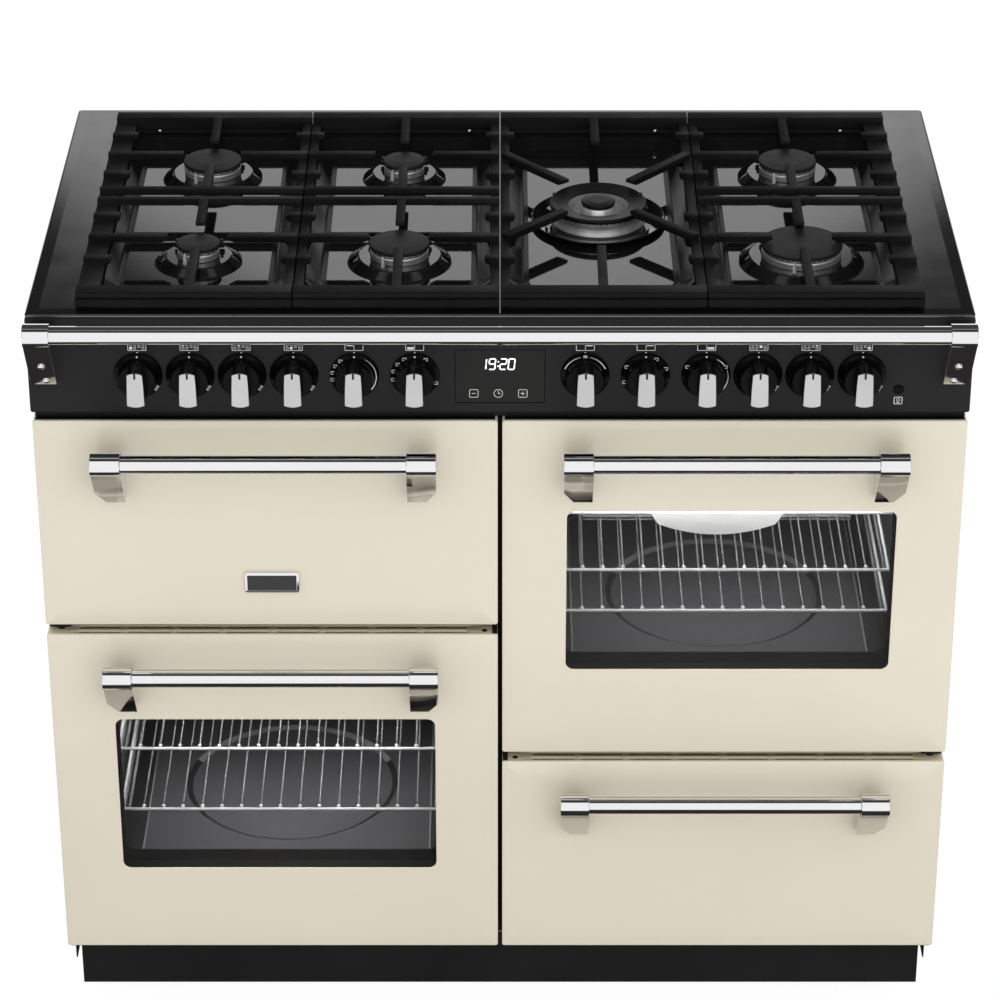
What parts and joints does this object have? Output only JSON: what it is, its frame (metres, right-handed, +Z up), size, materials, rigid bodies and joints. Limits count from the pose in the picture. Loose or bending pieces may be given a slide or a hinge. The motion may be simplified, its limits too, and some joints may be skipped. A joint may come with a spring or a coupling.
{
  "type": "dual fuel range cooker",
  "caption": "Free-standing range cooker: gas hob with cast pan supports and a wok burner, grill, two fan ovens and a slow oven behind side-hung doors, with turning knobs.",
  "frame": {"origin": "on the floor, at the middle of the cooker's bounding box", "axes": "+X to the right as the cook faces it, +Y to the back, +Z up"},
  "size_m": [1, 0.6287, 0.925],
  "materials": {
    "hob_enamel": "gloss black enamel",
    "burner_aluminium": "cast and machined",
    "cap_enamel": "matt black enamel",
    "electrode_ceramic": "white glazed ceramic",
    "support_iron": "matt enamelled cast iron",
    "fascia_paint": "satin black",
    "display_glass": "black glass window",
    "knob_black": "black body with a brushed metal grip face",
    "button_black": "moulded",
    "handle_chrome": "polished",
    "gas_steel": "plated",
    "switch_plastic": "moulded",
    "door_enamel": "gloss cream enamel",
    "liner_enamel": "gloss dark enamel",
    "door_glass": "tinted oven glass",
    "cavity_enamel": "speckled dark enamel",
    "fan_steel": "pressed",
    "motor_steel": "plated",
    "element_steel": "oxidised sheath",
    "wire_chrome": "bright wire",
    "hinge_steel": "black plated",
    "seal_rubber": "moulded",
    "side_paint": "satin black",
    "frame_paint": "black enamel",
    "zinc_sheet": "galvanised",
    "foot_steel": "plated",
    "gland_plastic": "moulded"
  },
  "bodies": {
    "root": {"air_fry_tray": "wire_chrome", "back_panel": "zinc_sheet", "base_pan": "zinc_sheet", "burner_caps": "cap_enamel", "burner_heads": "burner_aluminium", "clock_display": "display_glass", "control_fascia": "fascia_paint", "door_hinges": "hinge_steel", "door_seals": "seal_rubber", "fan_covers": "cavity_enamel", "fan_motors": "motor_steel", "front_frame": "frame_paint", "gas_rail": "gas_steel", "grill_cavity": "cavity_enamel", "grill_element": "element_steel", "handrail": "handle_chrome", "hob_tray": "hob_enamel", "left_oven_cavity": "cavity_enamel", "levelling_feet": "foot_steel", "mains_gland": "gland_plastic", "oven_shelves": "wire_chrome", "oven_switches": "switch_plastic", "plinth": "side_paint", "right_oven_cavity": "cavity_enamel", "shelf_runners": "wire_chrome", "side_panel_left": "side_paint", "side_panel_right": "side_paint", "slow_oven_cavity": "cavity_enamel", "spark_electrodes": "electrode_ceramic", "twin_pan_supports": "support_iron", "wok_pan_support": "support_iron"},
    "grill_door": {"grill_door_handle": "handle_chrome", "grill_door_liner": "liner_enamel", "grill_door_skin": "door_enamel"},
    "left_oven_door": {"left_oven_door_handle": "handle_chrome", "left_oven_door_liner": "liner_enamel", "left_oven_door_panes": "door_glass", "left_oven_door_skin": "door_enamel"},
    "right_oven_door": {"right_oven_door_handle": "handle_chrome", "right_oven_door_liner": "liner_enamel", "right_oven_door_panes": "door_glass", "right_oven_door_skin": "door_enamel"},
    "slow_oven_door": {"slow_oven_door_handle": "handle_chrome", "slow_oven_door_liner": "liner_enamel", "slow_oven_door_skin": "door_enamel"},
    "knob_1": {"knob_1": "knob_black"},
    "knob_2": {"knob_2": "knob_black"},
    "knob_3": {"knob_3": "knob_black"},
    "knob_4": {"knob_4": "knob_black"},
    "knob_5": {"knob_5": "knob_black"},
    "knob_6": {"knob_6": "knob_black"},
    "knob_7": {"knob_7": "knob_black"},
    "knob_8": {"knob_8": "knob_black"},
    "knob_9": {"knob_9": "knob_black"},
    "knob_10": {"knob_10": "knob_black"},
    "knob_11": {"knob_11": "knob_black"},
    "knob_12": {"knob_12": "knob_black"},
    "light_button": {"light_button": "button_black"},
    "left_oven_fan": {"left_oven_fan": "fan_steel"},
    "right_oven_fan": {"right_oven_fan": "fan_steel"}
  },
  "joints": [
    {"name": "grill_door_swing", "type": "hinge", "parent": "root", "child": "grill_door", "pos_m": [-0.4831, -0.23965, 0.657], "axis": [0, 0, -1], "range_deg": [0, 105]},
    {"name": "left_oven_door_swing", "type": "hinge", "parent": "root", "child": "left_oven_door", "pos_m": [-0.4831, -0.23965, 0.311], "axis": [0, 0, -1], "range_deg": [0, 105]},
    {"name": "right_oven_door_swing", "type": "hinge", "parent": "root", "child": "right_oven_door", "pos_m": [0.4831, -0.23965, 0.575], "axis": [0, 0, 1], "range_deg": [0, 105]},
    {"name": "slow_oven_door_swing", "type": "hinge", "parent": "root", "child": "slow_oven_door", "pos_m": [0.4831, -0.23965, 0.228], "axis": [0, 0, 1], "range_deg": [0, 105]},
    {"name": "knob_1_turn", "type": "hinge", "parent": "root", "child": "knob_1", "pos_m": [-0.383, -0.24965, 0.835], "axis": [0, -1, 0], "range_deg": [0, 210]},
    {"name": "knob_2_turn", "type": "hinge", "parent": "root", "child": "knob_2", "pos_m": [-0.328, -0.24965, 0.835], "axis": [0, -1, 0], "range_deg": [0, 210]},
    {"name": "knob_3_turn", "type": "hinge", "parent": "root", "child": "knob_3", "pos_m": [-0.273, -0.24965, 0.835], "axis": [0, -1, 0], "range_deg": [0, 210]},
    {"name": "knob_4_turn", "type": "hinge", "parent": "root", "child": "knob_4", "pos_m": [-0.218, -0.24965, 0.835], "axis": [0, -1, 0], "range_deg": [0, 210]},
    {"name": "knob_5_turn", "type": "hinge", "parent": "root", "child": "knob_5", "pos_m": [-0.154, -0.24965, 0.835], "axis": [0, 1, 0], "range_deg": [0, 270]},
    {"name": "knob_6_turn", "type": "hinge", "parent": "root", "child": "knob_6", "pos_m": [-0.09, -0.24965, 0.835], "axis": [0, 1, 0], "range_deg": [0, 270]},
    {"name": "knob_7_turn", "type": "hinge", "parent": "root", "child": "knob_7", "pos_m": [0.09, -0.24965, 0.835], "axis": [0, 1, 0], "range_deg": [0, 270]},
    {"name": "knob_8_turn", "type": "hinge", "parent": "root", "child": "knob_8", "pos_m": [0.154, -0.24965, 0.835], "axis": [0, 1, 0], "range_deg": [0, 270]},
    {"name": "knob_9_turn", "type": "hinge", "parent": "root", "child": "knob_9", "pos_m": [0.218, -0.24965, 0.835], "axis": [0, 1, 0], "range_deg": [0, 270]},
    {"name": "knob_10_turn", "type": "hinge", "parent": "root", "child": "knob_10", "pos_m": [0.273, -0.24965, 0.835], "axis": [0, -1, 0], "range_deg": [0, 210]},
    {"name": "knob_11_turn", "type": "hinge", "parent": "root", "child": "knob_11", "pos_m": [0.328, -0.24965, 0.835], "axis": [0, -1, 0], "range_deg": [0, 210]},
    {"name": "knob_12_turn", "type": "hinge", "parent": "root", "child": "knob_12", "pos_m": [0.383, -0.24965, 0.835], "axis": [0, -1, 0], "range_deg": [0, 210]},
    {"name": "light_button_press", "type": "slide", "parent": "root", "child": "light_button", "axis": [0, 1, 0], "range_m": [0, 0.003], "stiffness_N_per_m": 200},
    {"name": "left_oven_fan_spin", "type": "hinge", "parent": "root", "child": "left_oven_fan", "pos_m": [-0.25025, 0.20835, 0.3197], "axis": [0, 1, 0], "continuous": true},
    {"name": "right_oven_fan_spin", "type": "hinge", "parent": "root", "child": "right_oven_fan", "pos_m": [0.25025, 0.20835, 0.5835], "axis": [0, 1, 0], "continuous": true}
  ]
}
